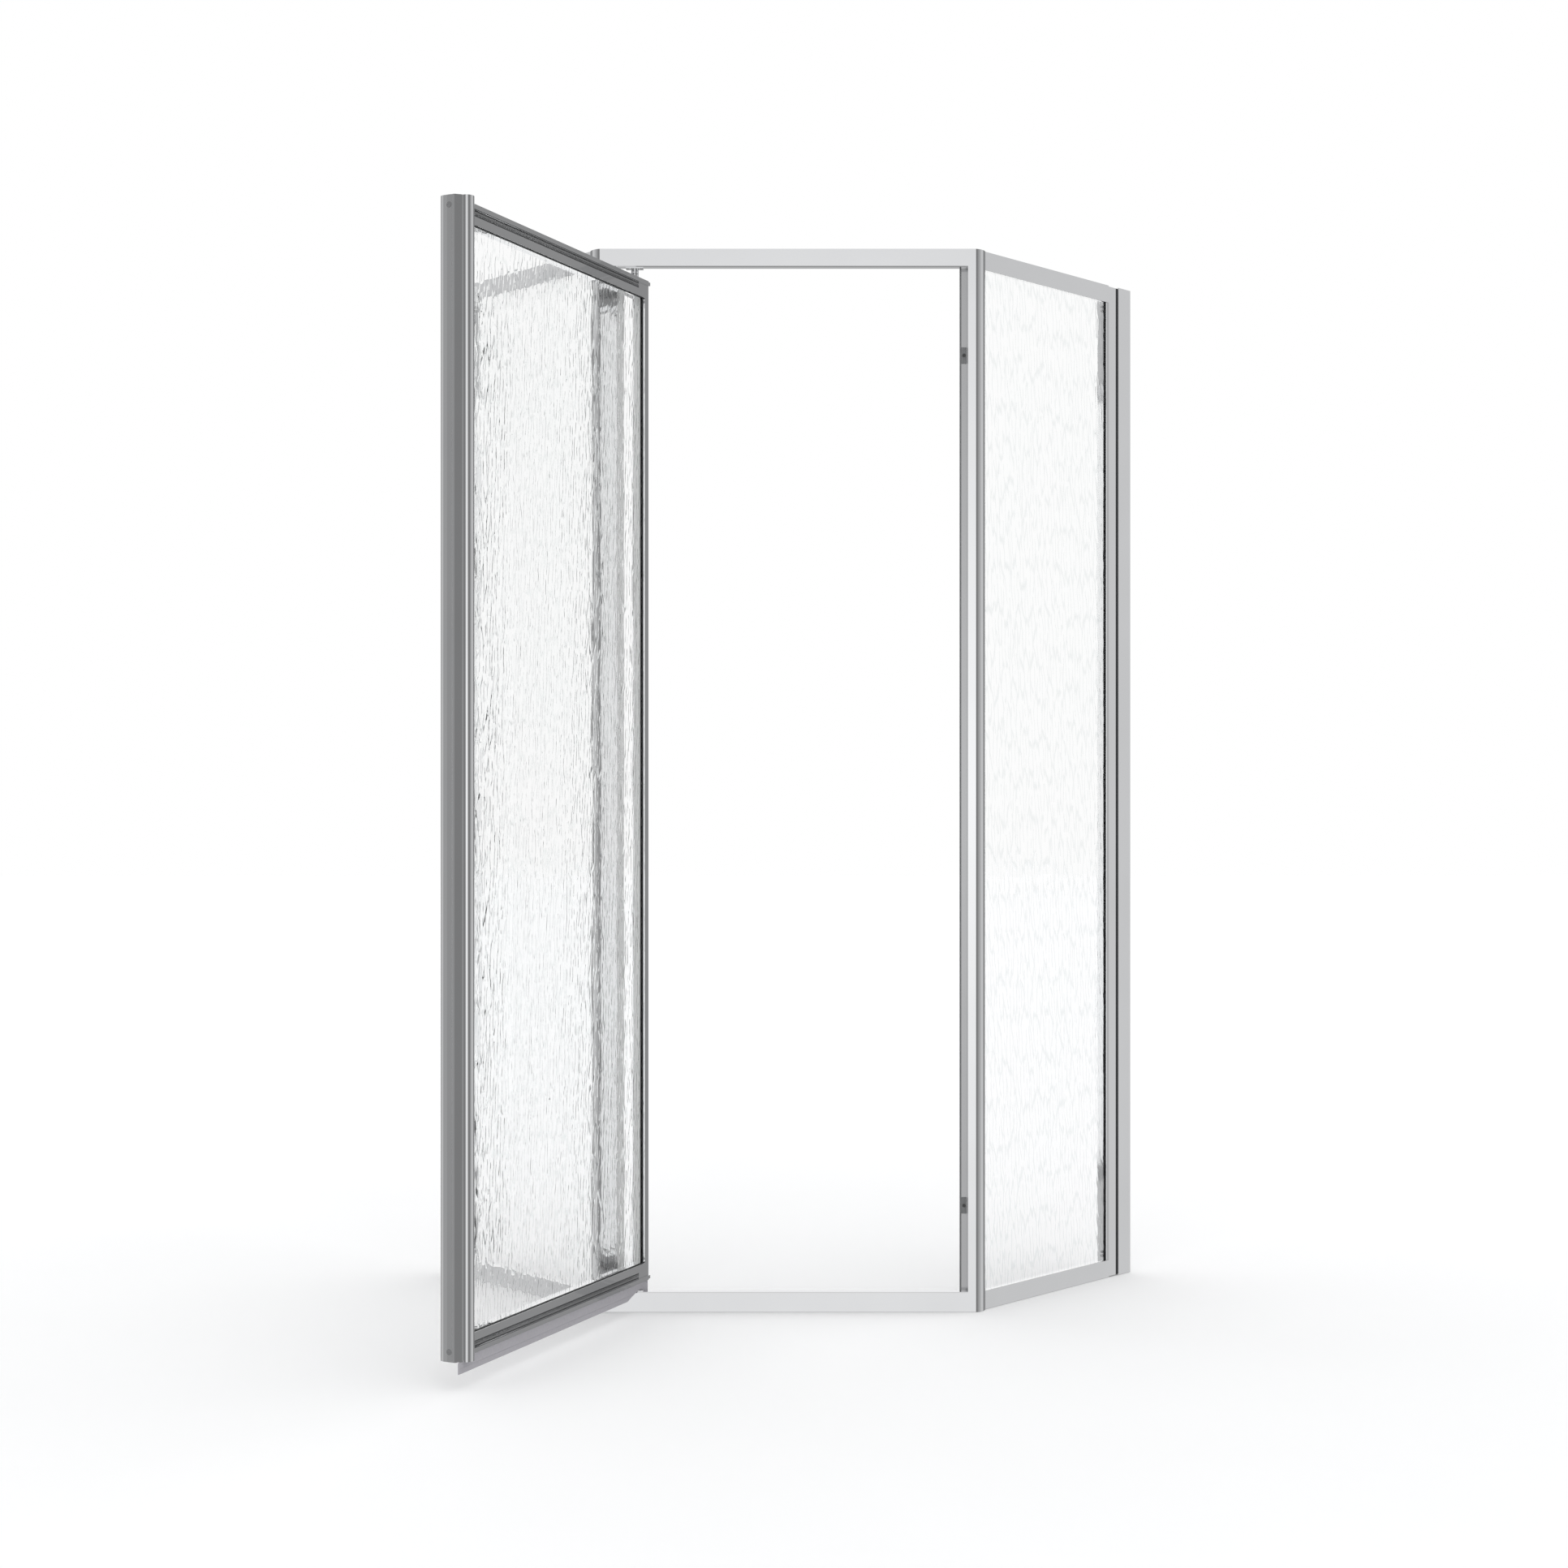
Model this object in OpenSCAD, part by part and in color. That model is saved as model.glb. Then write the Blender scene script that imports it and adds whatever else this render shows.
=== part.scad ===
// Neo-angle pivot shower door: a front frame with one pivoting door between two fixed return panels.
// Millimetres, +Z up, front toward -Y. Origin: middle of the front sill underside, on the pivot plane.

/* [Enclosure] */
// Height of the framed enclosure
frame_h = 1828.8; // [1600:0.1:2100]
// Width of the front between its two outer corners
front_w = 643; // [580:1:760]
// Length of each return from the front corner to the wall
return_len = 447.5; // [380:0.5:600]
// Depth of all frame sections
frame_d = 28; // [28:0.5:30]
// Wall thickness of the aluminium sections
wall = 1.6; // [1.4:0.1:1.8]

/* [Front frame] */
// Height of the front header face
header_h = 31; // [29:0.5:36]
// Height of the front sill face
sill_h = 34.4; // [32:0.1:36]
// Height of the sill ledge behind the dam
sill_ledge = 22; // [20:0.5:24]
// Height of the header section behind the dam
header_ledge = 20; // [18:0.5:22]
// Depth of the dam from the front face
dam_d = 19; // [18:0.5:20]
// Fall of the dam surface toward the inside
dam_fall = 1.1; // [0.6:0.1:1.4]
// Height of the bevel on the dam edge
bevel_h = 1.6; // [1:0.1:3.2]
// Depth of the bevel on the dam edge
bevel_d = 0.9; // [0.6:0.1:2]
// Distance from the outer corner to the post seam
seam_in = 11.5; // [10:0.5:13]
// Radius of the rounded corner bead
bead_r = 25; // [24:0.5:27]
// Angle at which the bead leaves the front face
bead_start = 16; // [13:0.5:18]
// Distance of the bead crease past the outer corner
crease_out = 2.2; // [1.8:0.1:2.6]
// Width of the door jamb beside each post
jamb_w = 12.5; // [11:0.5:14]

/* [Returns] */
// Height of the return rail faces
rail_h = 31.7; // [30:0.1:36]
// Fall of the return rail surface toward the inside
rail_fall = 3; // [1:0.1:3.4]
// Depth of the return rails' raised part from the outer face
return_dam = 21; // [20:0.5:22]
// Height of the return rail ledge behind the raised part
return_ledge = 21; // [20:0.5:23]
// Width of the wall stile face
stile_w = 27.9; // [26:0.1:32]
// Width of the stile lip beside the glass
lip_w = 5.6; // [4:0.1:7]
// Amount the stile is shorter than the frame at each end
stile_short = 1.8; // [0.5:0.1:3]
// Width of the U-channel fixed to the wall
channel_w = 37.2; // [34:0.1:42]
// Open gap between the stile face and the channel
channel_gap = 5; // [3:0.5:6]
// Thickness of the channel web against the wall
web_t = 2; // [1.6:0.1:3]
// Radius of the wall screw holes
wall_hole_r = 2.5; // [2:0.1:3.5]
// Height of the lower and upper wall holes from the frame ends
wall_hole_z = 150; // [80:1:300]

/* [Glass] */
// Thickness of the patterned glass
glass_t = 4.8; // [4:0.1:6]
// Thickness of the glazing vinyl on each face
vinyl_t = 1.6; // [1.2:0.1:2]
// Depth of the glass edge inside its pocket
bite = 10; // [8:0.5:11]
// Distance of the return glass from the outer face
return_glass_in = 4; // [3.6:0.1:6]
// Distance of the door glass from the middle plane of the door
door_glass_v = 3.5; // [3:0.1:4]
// Amount of vinyl showing beyond the metal
vinyl_show = 0.9; // [0.4:0.1:2]
// Amount of vinyl showing beside the wall stiles
return_show = 0.4; // [0.2:0.1:1]
// Height of the rubber setting blocks
block_h = 2; // [1:0.5:3]

/* [Door] */
// Opening angle drawn, measured from closed
open_angle = 115; // [0:1:125]
// Distance of the pivot axis from the post seam
pivot_in = 46; // [42:0.5:54]
// Reach of the door past the pivot toward the hinge post
heel = 26; // [22:0.5:27]
// Gap between the latch edge and the strike jamb
latch_gap = 0.2; // [0.2:0.1:3]
// Gap between the door top and the header
top_gap = 10.9; // [9.5:0.1:14]
// Gap between the door bottom and the sill
bottom_gap = 7.5; // [7:0.1:12]
// Thickness of the door frame
door_d = 26; // [26:0.5:28]
// Height of the door rails
door_rail_h = 31.5; // [31:0.1:36]
// Inset of the door rails from the latch stile ends
rail_inset = 6.6; // [6:0.1:8]
// Width of the hinge stile
hinge_stile_w = 14.4; // [13:0.1:15]
// Width of the latch stile with its pull
latch_w = 33.3; // [33.3:0.1:36]
// Extra reach of the rail ledge on each face
ledge_out = 3; // [2:0.1:4]
// Length of the pivot block ledge beyond the pivot axis
block_len = 64; // [50:1:80]

/* [Pivot] */
// Radius of the pivot pins
pin_r = 4; // [3:0.1:4.2]
// Running clearance between pin and bushing
pin_fit = 0.05; // [0.02:0.01:0.1]
// Wall of the pivot bushings
bushing_t = 1.15; // [1:0.05:1.2]
// Radius of the boss on the frame brackets
boss_r = 6.4; // [6:0.1:6.6]
// Open gap between bracket boss and door boss
boss_gap = 0.6; // [0.4:0.1:1.2]
// Height of the pivot bracket plate
plate_t = 2; // [1.5:0.1:2.5]
// Distance of the bracket plates from the front face
bracket_in = 3; // [2.5:0.1:3.2]
// Distance of the bracket screws from the front face
bracket_screw_in = 6; // [5.8:0.1:6.5]

/* [Seals] */
// Thickness of the door sweep
sweep_t = 2; // [1.6:0.1:2.4]
// Distance of the sweep from the middle plane of the door
sweep_v = 9; // [8.6:0.1:10]
// Height of the sweep lower edge above the floor
sweep_z = 25; // [24:0.5:28]
// Reach of the hinge seal fin past the jamb
fin_reach = 12; // [8:0.5:12.5]
// Thickness of the magnet strips
magnet_t = 3; // [2:0.1:3.2]

/* [Fixings] */
// Radius of the screw shanks
screw_r = 2; // [1.5:0.1:2.2]
// Radius of the pan heads
head_r = 3.3; // [2.8:0.1:3.5]
// Height of the pan heads
head_t = 1.8; // [1.2:0.1:2.2]
// Clearance around screw shanks
screw_fit = 0.15; // [0.1:0.05:0.3]
// Height of the strike clips
clip_h = 28; // [20:1:40]
// Height of the lower clip and depth of the upper clip from the top
clip_z = 180; // [120:1:300]

/* [Hidden] */
$fn = 48;
turn = 45;

corner_x = front_w / 2;
front_y = -frame_d / 2;
back_y = frame_d / 2;
dam_y = front_y + dam_d;
seam_x = corner_x - seam_in;
jamb_tip = seam_x - jamb_w;
pivot_x = pivot_in - seam_x;
header_z = frame_h - header_h;

bead_x = corner_x + crease_out - bead_r * sin(bead_start);
bead_y = front_y + bead_r * cos(bead_start);
bead_end = bead_bend(0);
post_reach = (bead_x - corner_x + bead_r * sin(bead_end)) * cos(turn)
    + (bead_y - front_y - bead_r * cos(bead_end)) * sin(turn);

pocket_t = glass_t + 2 * vinyl_t;
return_pocket = return_glass_in - vinyl_t;
port_r = 3.4;
port_in = head_r + 0.2;
port_z = 12;
front_port_y = front_y + wall + port_in;
rear_port_y = (dam_y + back_y - wall) / 2;

stile_out = return_len - channel_w - channel_gap;
stile_in = stile_out - stile_w;
stile_back = stile_in + lip_w;
neck_in = 2.2;
neck_end = return_len - 22.5;
channel_in = return_len - channel_w;
return_g0 = post_reach - bite + 3.8;
return_g1 = stile_in + bite - 2.4;
return_gz = rail_h - bite - 1.7;

door_top = header_z - top_gap;
door_bottom = sill_h + bottom_gap;
rail_top = door_top - rail_inset;
rail_bottom = door_bottom + rail_inset;
latch_end = jamb_tip - pivot_x - latch_gap;
latch_in = latch_end - latch_w;
half_d = door_d / 2;
hinge_in = hinge_stile_w - heel;
door_pocket = door_glass_v - vinyl_t;
door_gz0 = rail_bottom + door_rail_h - bite;
door_gz1 = rail_top - door_rail_h + bite;
door_gu0 = hinge_in - 8;
door_gu1 = latch_in + 8;
ledge_d = 8.7;
cove_r = 5;
cove_d = ledge_d + cove_r + 0.1;
core_r = pin_r + pin_fit + bushing_t + 1.1;
top_boss_z = door_top + 0.5;
bottom_boss_z = door_bottom - 0.4;
block_top_z = rail_top - ledge_d;

// Placing helpers

module right_return() {
    translate([corner_x, front_y, 0]) rotate([0, 0, turn]) children();
}

module left_return() {
    mirror([1, 0, 0]) right_return() children();
}

module door_frame() {
    translate([pivot_x, 0, 0]) rotate([0, 0, -open_angle]) children();
}

module along_x(x0, x1) {
    translate([x0, 0, 0]) rotate([90, 0, 90]) linear_extrude(height = x1 - x0) children();
}

module from_top() {
    translate([0, 0, frame_h]) mirror([0, 0, 1]) children();
}

// A pan head screw with a cross recess: head on +Z, seat at z = 0, shank toward -Z
module screw(len, hr = head_r, ht = head_t) {
    difference() {
        union() {
            cylinder(h = ht, r = hr);
            translate([0, 0, -len]) cylinder(h = len + ht / 2, r = screw_r);
        }
        translate([-hr * 0.62, -hr * 0.13, ht * 0.45]) cube([hr * 1.24, hr * 0.26, ht]);
        translate([-hr * 0.13, -hr * 0.62, ht * 0.45]) cube([hr * 0.26, hr * 1.24, ht]);
    }
}

module screw_hole(len) {
    translate([0, 0, -len]) cylinder(h = len, r = screw_r + screw_fit);
}

// Front rails: a dam at the front and a lower ledge behind it

module front_section(h, ledge) {
    rear_r = (back_y - wall - dam_y) / 2 + 0.3;
    difference() {
        polygon([
            [front_y, 0], [back_y, 0], [back_y, ledge], [dam_y, ledge],
            [dam_y, h - dam_fall], [front_y + bevel_d, h], [front_y, h - bevel_h]
        ]);
        difference() {
            polygon([
                [front_y + wall, wall], [dam_y - wall, wall], [dam_y - wall, h - dam_fall - wall],
                [front_y + wall + 1, h - wall - 0.6], [front_y + wall, h - bevel_h - 0.9]
            ]);
            translate([front_port_y, port_z]) circle(r = port_in + 0.3);
        }
        difference() {
            polygon([
                [dam_y, wall], [back_y - wall, wall], [back_y - wall, ledge - wall], [dam_y, ledge - wall]
            ]);
            translate([rear_port_y, port_z]) circle(r = rear_r);
        }
        translate([front_port_y, port_z]) circle(r = screw_r + screw_fit);
        translate([rear_port_y, port_z]) circle(r = screw_r + screw_fit);
    }
}

module front_screw_spots() {
    for (y = [front_port_y, rear_port_y])
        for (z = [port_z, frame_h - port_z])
            translate([0, y, z]) children();
}

module front_header() {
    color("silver") difference() {
        from_top() along_x(-seam_x, seam_x) front_section(header_h, header_ledge);
        from_top() bracket_screw_spots(header_h) screw_hole(12);
    }
}

module front_sill() {
    color("silver") difference() {
        along_x(-seam_x, seam_x) front_section(sill_h, sill_ledge);
        bracket_screw_spots(sill_h) screw_hole(12);
    }
}

// Corner posts: a flat flange, a round bead and a pocket for the return glass

function rx(s, t) = corner_x + (s - t) * cos(turn);
function ry(s, t) = front_y + (s + t) * sin(turn);

// Angle where the bead arc, e inside the outer surface, meets the plane of the return
function bead_bend(e) =
    turn + acos((bead_r * cos(turn - bead_start) - crease_out * sin(turn) - e) / (bead_r - e));

module post_body(h, e) {
    r = bead_r - e;
    bend = bead_bend(e);
    inner_y = front_y + (seam_x + e - corner_x) + (frame_d - e) * sqrt(2);
    bead_tip = [bead_x + r * sin(bend), bead_y - r * cos(bend)];
    inner_tip = [rx(post_reach - e, frame_d - e), ry(post_reach - e, frame_d - e)];
    past_tip = bead_tip + (bead_tip - inner_tip) / 2;
    linear_extrude(height = h) polygon([
        [seam_x + e, front_y + e], [bead_x + 2, front_y + e], (bead_tip + inner_tip) / 2,
        inner_tip, [seam_x + e, inner_y]
    ]);
    intersection() {
        translate([bead_x, bead_y, 0]) cylinder(h = h, r = r);
        linear_extrude(height = h) polygon([
            [bead_x, front_y + e], [past_tip[0], front_y + e], past_tip, inner_tip, [bead_x, bead_y]
        ]);
    }
}

module return_rect(s0, s1, t0, t1) {
    polygon([[rx(s0, t0), ry(s0, t0)], [rx(s1, t0), ry(s1, t0)],
             [rx(s1, t1), ry(s1, t1)], [rx(s0, t1), ry(s0, t1)]]);
}

module post() {
    pocket_s = return_g0 - 2;
    difference() {
        post_body(frame_h, 0);
        difference() {
            translate([0, 0, -1]) post_body(frame_h + 2, wall);
            translate([0, 0, -2]) linear_extrude(height = frame_h + 4)
                return_rect(pocket_s - wall, post_reach + 2, return_pocket - wall,
                            return_pocket + pocket_t + wall);
        }
        translate([0, 0, -1]) linear_extrude(height = frame_h + 2)
            return_rect(pocket_s, post_reach + 2, return_pocket, return_pocket + pocket_t);
        translate([seam_x + wall, 0, 0]) front_screw_spots() rotate([0, 90, 0]) screw_hole(wall + 1);
        right_return() for (z = [port_z, frame_h - port_z])
            translate([post_reach + 1, return_port_t(), z]) rotate([0, 90, 0]) screw_hole(wall + 2);
    }
}

module strike_post() {
    color("silver") post();
}

module hinge_post() {
    color("silver") mirror([1, 0, 0]) post();
}

// Door jambs on the ledges beside the posts

module jamb_shape() {
    tip = jamb_tip + 2.2;
    difference() {
        polygon([[tip, dam_y], [seam_x, dam_y], [seam_x, back_y], [tip, back_y]]);
        polygon([[tip + 4.6, dam_y + wall], [seam_x - wall, dam_y + wall],
                 [seam_x - wall, back_y - wall], [tip + 4.6, back_y - wall]]);
        translate([tip - 1, dam_y + 3]) square([4, 3]);
    }
}

module strike_jamb() {
    color("silver") difference() {
        translate([0, 0, sill_ledge]) linear_extrude(height = frame_h - sill_ledge - header_ledge)
            jamb_shape();
        clip_spots() rotate([90, 0, 0]) translate([0, 0, 1]) screw_hole(wall + 8);
    }
}

module hinge_jamb() {
    color("silver") mirror([1, 0, 0]) translate([0, 0, sill_ledge])
        linear_extrude(height = frame_h - sill_ledge - header_ledge) {
            jamb_shape();
            translate([jamb_tip, dam_y]) square([2.2, frame_d - dam_d]);
        }
}

module strike_magnet() {
    color("dimgray") translate([0, 0, sill_ledge])
        linear_extrude(height = frame_h - sill_ledge - header_ledge) {
            translate([jamb_tip, dam_y + 0.3]) square([1.5, frame_d - dam_d - 0.6]);
            translate([jamb_tip + 1.4, dam_y + 3.1]) square([3.2, 2.8]);
        }
}

module clip_spots() {
    for (z = [clip_z, frame_h - clip_z])
        translate([seam_x - jamb_w / 2 + 0.5, dam_y, z]) children();
}

module strike_clips() {
    color("dimgray") difference() {
        clip_spots() translate([-4.2, -1.7, -clip_h / 2]) cube([8.4, 1.7, clip_h]);
        clip_spots() rotate([90, 0, 0]) translate([0, 0, 3]) screw_hole(5);
    }
}

module strike_clip_screws() {
    color("silver") clip_spots() translate([0, -1.7, 0]) rotate([90, 0, 0]) screw(8, 2.9, 1.3);
}

module hinge_seal() {
    fin_z = rail_bottom + ledge_d + 2;
    fin_h = rail_top - ledge_d - 2 - fin_z;
    color("darkgray") translate([-jamb_tip, back_y, fin_z]) {
        translate([1.5 - jamb_w, 0, 0]) cube([jamb_w - 2.5, 1.4, fin_h]);
        linear_extrude(height = fin_h)
            polygon([[-1.5, 0], [-1.5, 1.4], [fin_reach - 0.7, 1.35], [fin_reach - 0.7, 0.55]]);
        translate([fin_reach - 1, 0.95, 0]) cylinder(h = fin_h, r = 0.75);
    }
}

// Return panels, drawn on the right and mirrored to the left

function return_port_t() = return_pocket + pocket_t + 5.6;

module return_section() {
    t1 = return_pocket + pocket_t;
    pocket_z = return_gz - block_h;
    port_t = return_port_t();
    difference() {
        polygon([
            [0, 0], [frame_d, 0], [frame_d, return_ledge], [return_dam, return_ledge],
            [return_dam, rail_h - rail_fall], [0, rail_h]
        ]);
        polygon([[wall, wall], [t1, wall], [t1, pocket_z - wall], [wall, pocket_z - wall]]);
        difference() {
            polygon([
                [t1 + wall, wall], [frame_d - wall, wall], [frame_d - wall, return_ledge - wall],
                [return_dam - wall, return_ledge - wall],
                [return_dam - wall, rail_h - rail_fall - wall], [t1 + wall, rail_h - rail_fall - wall]
            ]);
            translate([port_t, port_z]) circle(r = 4.4);
        }
        translate([port_t, port_z]) circle(r = screw_r + screw_fit);
        translate([return_pocket, pocket_z]) square([pocket_t, rail_h]);
    }
}

module return_sill() {
    along_x(post_reach, stile_back) return_section();
}

module left_header() {
    color("silver") from_top() left_return() return_sill();
}

module right_header() {
    color("silver") from_top() right_return() return_sill();
}

module left_sill() {
    color("silver") left_return() return_sill();
}

module right_sill() {
    color("silver") right_return() return_sill();
}

module wall_stile() {
    t1 = return_pocket + pocket_t;
    wall_s = return_g1 + 2;
    difference() {
        union() {
            translate([0, 0, stile_short]) linear_extrude(height = frame_h - 2 * stile_short) {
                polygon([
                    [stile_back, 0], [stile_out - 1, 0], [stile_out, 1], [stile_out, neck_in],
                    [neck_end, neck_in], [neck_end, frame_d - neck_in], [stile_out, frame_d - neck_in],
                    [stile_out, frame_d], [stile_back, frame_d]
                ]);
            }
            translate([0, 0, rail_h]) linear_extrude(height = frame_h - 2 * rail_h)
                polygon([[stile_in, 1.6], [stile_in + 0.6, 1], [stile_back, 0], [stile_back + 1, 0],
                         [stile_back + 1, return_dam], [stile_in, return_dam]]);
        }
        translate([0, 0, -1]) linear_extrude(height = frame_h + 2) {
            translate([stile_in - 1, return_pocket]) square([wall_s - stile_in + 1, pocket_t]);
            translate([wall_s + wall, wall]) square([stile_out - 2 * wall - wall_s, frame_d - 2 * wall]);
            translate([stile_out, neck_in + wall])
                square([neck_end - wall - stile_out, frame_d - 2 * neck_in - 2 * wall]);
        }
        translate([stile_in + wall, t1 + wall, rail_h + wall])
            cube([wall_s - stile_in - wall, return_dam - t1 - 2 * wall, frame_h - 2 * rail_h - 2 * wall]);
        for (z = [port_z, frame_h - port_z])
            translate([wall_s + wall + 1, return_port_t(), z]) rotate([0, 90, 0]) screw_hole(9);
        corner_screw_spots() rotate([0, -90, 0]) translate([0, 0, 1]) screw_hole(11);
        fixing_spots() rotate([-90, 0, 0]) screw_hole(8);
    }
}

module corner_screw_spots() {
    spot_t = return_pocket + pocket_t + head_r;
    for (z = [rail_h + 7.1, rail_h + 14.5, frame_h - rail_h - 7.1, frame_h - rail_h - 14.5])
        translate([stile_in, spot_t, z]) children();
}

module fixing_spots() {
    for (z = [wall_hole_z + 60, frame_h / 2, frame_h - wall_hole_z - 60])
        translate([channel_in + 8, frame_d + wall, z]) children();
}

module left_wall_stile() {
    color("silver") left_return() wall_stile();
}

module right_wall_stile() {
    color("silver") right_return() wall_stile();
}

module jamb_gasket() {
    translate([stile_out, 0, stile_short]) {
        cube([channel_gap + 5.7, neck_in, frame_h - 2 * stile_short]);
        translate([0, frame_d - neck_in, 0]) cube([channel_gap + 1, neck_in, frame_h - 2 * stile_short]);
    }
}

module left_jamb_gasket() {
    color("dimgray") left_return() jamb_gasket();
}

module right_jamb_gasket() {
    color("dimgray") right_return() jamb_gasket();
}

module wall_jamb() {
    difference() {
        linear_extrude(height = frame_h) difference() {
            polygon([
                [channel_in, -wall], [return_len, -wall], [return_len, frame_d + wall],
                [channel_in, frame_d + wall]
            ]);
            translate([channel_in - 1, 0]) square([channel_w - web_t + 1, frame_d]);
        }
        for (z = [wall_hole_z, frame_h / 2, frame_h - wall_hole_z])
            translate([return_len - web_t - 1, frame_d / 2, z]) rotate([0, 90, 0])
                cylinder(h = web_t + 2, r = wall_hole_r);
        fixing_spots() rotate([-90, 0, 0]) translate([0, 0, 1]) screw_hole(wall + 2);
    }
}

module left_wall_jamb() {
    color("silver") left_return() wall_jamb();
}

module right_wall_jamb() {
    color("silver") right_return() wall_jamb();
}

module return_glass() {
    translate([return_g0, return_glass_in, return_gz])
        cube([return_g1 - return_g0, glass_t, frame_h - 2 * return_gz]);
}

module left_glass() {
    color("lightblue", 0.4) left_return() return_glass();
}

module right_glass() {
    color("lightblue", 0.4) right_return() return_glass();
}

module return_glazing() {
    s0 = post_reach - 1;
    s1 = stile_in + 1;
    z0 = rail_h - rail_fall - 1;
    difference() {
        translate([return_g0, return_pocket, return_gz])
            cube([return_g1 - return_g0, pocket_t, frame_h - 2 * return_gz]);
        translate([return_g0 - 1, return_glass_in, return_gz - 1])
            cube([return_g1 - return_g0 + 2, glass_t, frame_h - 2 * return_gz + 2]);
        translate([s0, return_pocket - 1, z0])
            cube([stile_in - return_show - s0, pocket_t + 2, frame_h - 2 * z0]);
        translate([s0, return_glass_in + 1, z0]) cube([s1 - s0, pocket_t, frame_h - 2 * z0]);
    }
}

module left_glazing() {
    color("dimgray") left_return() return_glazing();
}

module right_glazing() {
    color("dimgray") right_return() return_glazing();
}

module return_blocks() {
    for (s = [0.25, 0.75])
        translate([post_reach + s * (stile_in - post_reach) - 25, return_pocket + 0.4, return_gz - block_h])
            cube([50, pocket_t - 0.8, block_h]);
}

module left_setting_blocks() {
    color("dimgray") left_return() return_blocks();
}

module right_setting_blocks() {
    color("dimgray") right_return() return_blocks();
}

// Pivot brackets on the header and the sill

function dam_top(y, h) = h - dam_fall * (y - front_y - bevel_d) / (dam_d - bevel_d);

module bracket(h, boss_end) {
    y0 = front_y + bracket_in;
    y1 = dam_y - 0.2;
    difference() {
        union() {
            translate([pivot_x, 0, 0]) along_x(-15, 15)
                polygon([[y0, dam_top(y0, h)], [y0, h + plate_t - 0.4], [y1, h + plate_t - 0.4],
                         [y1, dam_top(y1, h)]]);
            translate([pivot_x, 0, h]) cylinder(h = boss_end - h, r = boss_r);
        }
        translate([pivot_x, 0, boss_end - 2.2]) cylinder(h = 4, r = pin_r);
        bracket_screw_spots(h) screw_hole(plate_t + 2);
    }
}

module bracket_screw_spots(h) {
    for (side = [-1, 1])
        translate([pivot_x + side * (boss_r + 5.8), front_y + bracket_screw_in, h + plate_t - 0.4])
            children();
}

module top_pivot_bracket() {
    end = frame_h - top_boss_z - boss_gap;
    color("silver") from_top() difference() {
        bracket(header_h, end);
        translate([pivot_x - 2.6, -boss_r - 1, end - 6]) cube([1.7, 2 * boss_r + 2, 3.6]);
    }
}

module bottom_pivot_bracket() {
    color("silver") bracket(sill_h, bottom_boss_z - boss_gap);
}

module top_pivot_pin() {
    color("silver") translate([pivot_x, 0, top_boss_z - 20]) cylinder(h = 20 + boss_gap + 2.2, r = pin_r);
}

module bottom_pivot_pin() {
    z0 = bottom_boss_z - boss_gap - 2.2;
    color("silver") translate([pivot_x, 0, z0]) cylinder(h = 22 + boss_gap, r = pin_r);
}

module bottom_thrust_washer() {
    color("dimgray") translate([pivot_x, 0, bottom_boss_z - boss_gap]) difference() {
        cylinder(h = boss_gap - 0.05, r = boss_r - 0.2);
        translate([0, 0, -1]) cylinder(h = boss_gap + 2, r = pin_r);
    }
}

module pivot_bracket_screws() {
    color("silver") {
        bracket_screw_spots(sill_h) screw(10, 2.7, 1.2);
        from_top() bracket_screw_spots(header_h) screw(10, 2.7, 1.2);
    }
}

module frame_screws() {
    s1 = return_g1 + 2 + wall;
    color("silver") {
        for (side = [0, 1]) mirror([side, 0, 0]) {
            translate([seam_x + wall, 0, 0]) front_screw_spots() rotate([0, 90, 0]) screw(20);
            right_return() for (z = [port_z, frame_h - port_z]) {
                translate([post_reach - wall, return_port_t(), z]) rotate([0, -90, 0]) screw(20);
                translate([s1, return_port_t(), z]) rotate([0, 90, 0]) screw(20);
            }
        }
    }
}

module stile_corner_screws() {
    color("silver") for (side = [0, 1]) mirror([side, 0, 0])
        right_return() corner_screw_spots() rotate([0, -90, 0]) screw(9, 2.7, 1.2);
}

module stile_fixing_screws() {
    color("silver") for (side = [0, 1]) mirror([side, 0, 0])
        right_return() fixing_spots() rotate([-90, 0, 0]) screw(9);
}

// Door: section of a rail, v across and d down from the outer edge

module rail_outline(out) {
    polygon([
        [-half_d, 0], [half_d, 0], [half_d, 2.6], [half_d + out, 3], [half_d + out, ledge_d],
        [half_d, ledge_d], [half_d, door_rail_h - 0.7], [half_d - 0.7, door_rail_h],
        [0.7 - half_d, door_rail_h], [-half_d, door_rail_h - 0.7], [-half_d, ledge_d],
        [-half_d - out, ledge_d], [-half_d - out, 3], [-half_d, 2.6]
    ]);
}

module rail_cavities() {
    web = cove_d + cove_r - 1;
    pocket_d = door_rail_h - bite - block_h;
    port_v = 3.2 - half_d + wall;
    difference() {
        polygon([
            [wall - half_d, wall], [half_d - wall, wall], [half_d - wall, ledge_d - 1.3],
            [wall - half_d, ledge_d - 1.3]
        ]);
        translate([-6.5, 8.5]) circle(r = 3.6);
    }
    polygon([
        [-6.4, ledge_d - 0.3], [6.4, ledge_d - 0.3], [6.4, web], [-6.4, web]
    ]);
    difference() {
        polygon([
            [wall - half_d, pocket_d], [door_pocket - wall, pocket_d],
            [door_pocket - wall, door_rail_h - wall], [wall - half_d, door_rail_h - wall]
        ]);
        translate([port_v, door_rail_h - 7.5]) circle(r = port_r);
    }
    translate([door_pocket, pocket_d]) square([pocket_t, bite + block_h + 1]);
}

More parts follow.
